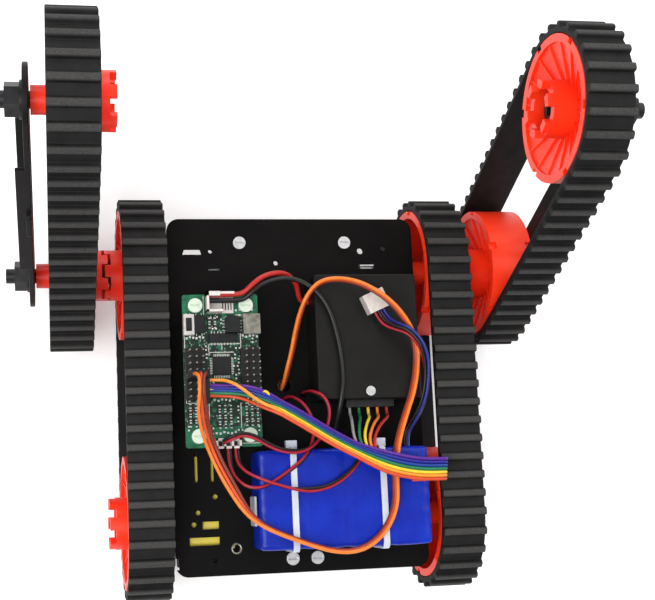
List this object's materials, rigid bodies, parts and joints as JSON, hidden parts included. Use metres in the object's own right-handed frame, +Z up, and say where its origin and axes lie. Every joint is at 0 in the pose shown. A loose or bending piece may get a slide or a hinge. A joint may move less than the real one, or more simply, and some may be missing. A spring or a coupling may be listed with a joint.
{
  "type": "tracked robot kit",
  "caption": "Small tracked robot with a flipper track on each side in front, an open controller board, a strapped battery pack and loose coloured wiring on its deck.",
  "frame": {"origin": "on the floor, under the middle of the robot's outline without its wires", "axes": "+Z up, +Y forwards to the flippers, +X to the right"},
  "size_m": [0.232, 0.2056, 0.1535],
  "materials": {
    "black_sheet": "matt black powder coat",
    "steel": "zinc plated",
    "yellow_plastic": "moulded",
    "motor_steel": "plain",
    "servo_plastic": "moulded",
    "bronze": "sintered",
    "belt_rubber": "ribbed, matt",
    "wheel_orange": "moulded",
    "arm_sheet": "satin black",
    "dark_steel": "black oxide",
    "board_green": "solder mask",
    "nylon": "natural nylon",
    "header_plastic": "moulded",
    "pin_metal": "plated",
    "chip_plastic": "moulded epoxy",
    "small_parts": "mixed parts",
    "socket_white": "moulded",
    "socket_metal": "plated",
    "switch_metal": "plated",
    "battery_blue": "shrink wrap",
    "battery_grey": "tape",
    "foam": "foam",
    "tie_white": "nylon",
    "cover_black": "satin",
    "lead_orange": "wire sheath",
    "ribbon_colours": "rainbow sheath",
    "wire_red": "wire sheath",
    "wire_black": "wire sheath",
    "wire_crimson": "wire sheath",
    "wire_blue": "wire sheath"
  },
  "bodies": {
    "chassis": {"chassis_tray": "black_sheet", "top_plate": "black_sheet", "crossbars": "black_sheet", "deck_screws": "steel", "left_gearbox": "yellow_plastic", "right_gearbox": "yellow_plastic", "motor_cans": "motor_steel", "side_screws": "steel", "left_servo": "servo_plastic", "right_servo": "servo_plastic", "servo_posts": "steel", "shaft_bushes": "bronze", "left_track": "belt_rubber", "right_track": "belt_rubber", "controller_board": "board_green", "board_posts": "nylon", "pin_headers": "header_plastic", "header_pins": "pin_metal", "board_chips": "chip_plastic", "board_smalls": "small_parts", "board_sockets": "socket_white", "usb_socket": "socket_metal", "switch_body": "switch_metal", "battery_pack": "battery_blue", "battery_end": "battery_grey", "battery_pad": "foam", "cable_ties": "tie_white", "module_cover": "cover_black", "sensor_socket": "header_plastic", "balance_plug": "socket_white", "servo_plug": "header_plastic", "ribbon_plug": "header_plastic", "servo_lead": "lead_orange", "ribbon_cable": "ribbon_colours", "ribbon_tails": "ribbon_colours", "power_red": "wire_red", "power_black": "wire_black", "motor_wire_a": "wire_crimson", "motor_wire_b": "wire_crimson", "motor_wire_c": "wire_crimson", "balance_lead": "wire_blue"},
    "left_drive": {"left_front_wheel": "wheel_orange", "left_flipper_wheel": "wheel_orange"},
    "left_rear": {"left_rear_wheel": "wheel_orange", "left_rear_axle": "dark_steel"},
    "left_arm": {"left_arm_plate": "arm_sheet", "left_arm_shaft": "dark_steel", "left_arm_fasteners": "dark_steel", "left_flipper_track": "belt_rubber"},
    "left_tip": {"left_tip_wheel": "wheel_orange"},
    "right_drive": {"right_front_wheel": "wheel_orange", "right_flipper_wheel": "wheel_orange"},
    "right_rear": {"right_rear_wheel": "wheel_orange", "right_rear_axle": "dark_steel"},
    "right_arm": {"right_arm_plate": "arm_sheet", "right_arm_shaft": "dark_steel", "right_arm_fasteners": "dark_steel", "right_flipper_track": "belt_rubber"},
    "right_tip": {"right_tip_wheel": "wheel_orange"},
    "switch": {"switch_knob": "header_plastic"}
  },
  "joints": [
    {"name": "left_drive_spin", "type": "hinge", "parent": "chassis", "child": "left_drive", "pos_m": [-0.06175, 0.02916, 0.031], "axis": [1, 0, 0], "continuous": true},
    {"name": "left_rear_spin", "type": "hinge", "parent": "chassis", "child": "left_rear", "pos_m": [-0.06175, -0.07184, 0.031], "axis": [1, 0, 0], "continuous": true},
    {"name": "left_arm_tilt", "type": "hinge", "parent": "chassis", "child": "left_arm", "pos_m": [-0.09005, 0.02916, 0.031], "axis": [1, 0, 0], "range_deg": [-65, 100]},
    {"name": "left_tip_spin", "type": "hinge", "parent": "left_arm", "child": "left_tip", "pos_m": [-0.09005, 0.07184, 0.12254], "axis": [1, 0, 0], "continuous": true},
    {"name": "right_drive_spin", "type": "hinge", "parent": "chassis", "child": "right_drive", "pos_m": [0.06175, 0.02916, 0.031], "axis": [1, 0, 0], "continuous": true},
    {"name": "right_rear_spin", "type": "hinge", "parent": "chassis", "child": "right_rear", "pos_m": [0.06175, -0.07184, 0.031], "axis": [1, 0, 0], "continuous": true},
    {"name": "right_arm_tilt", "type": "hinge", "parent": "chassis", "child": "right_arm", "pos_m": [0.09005, 0.02916, 0.031], "axis": [1, 0, 0], "range_deg": [-65, 100]},
    {"name": "right_tip_spin", "type": "hinge", "parent": "right_arm", "child": "right_tip", "pos_m": [0.09005, 0.07184, 0.12254], "axis": [1, 0, 0], "continuous": true},
    {"name": "switch_slide", "type": "slide", "parent": "chassis", "child": "switch", "axis": [0, 1, 0], "range_m": [0, 0.002]}
  ],
  "couplings": [
    {"joint": "left_rear_spin", "follows": "left_drive_spin", "ratio": 1},
    {"joint": "left_tip_spin", "follows": "left_drive_spin", "ratio": 1},
    {"joint": "right_rear_spin", "follows": "right_drive_spin", "ratio": 1},
    {"joint": "right_tip_spin", "follows": "right_drive_spin", "ratio": 1}
  ]
}
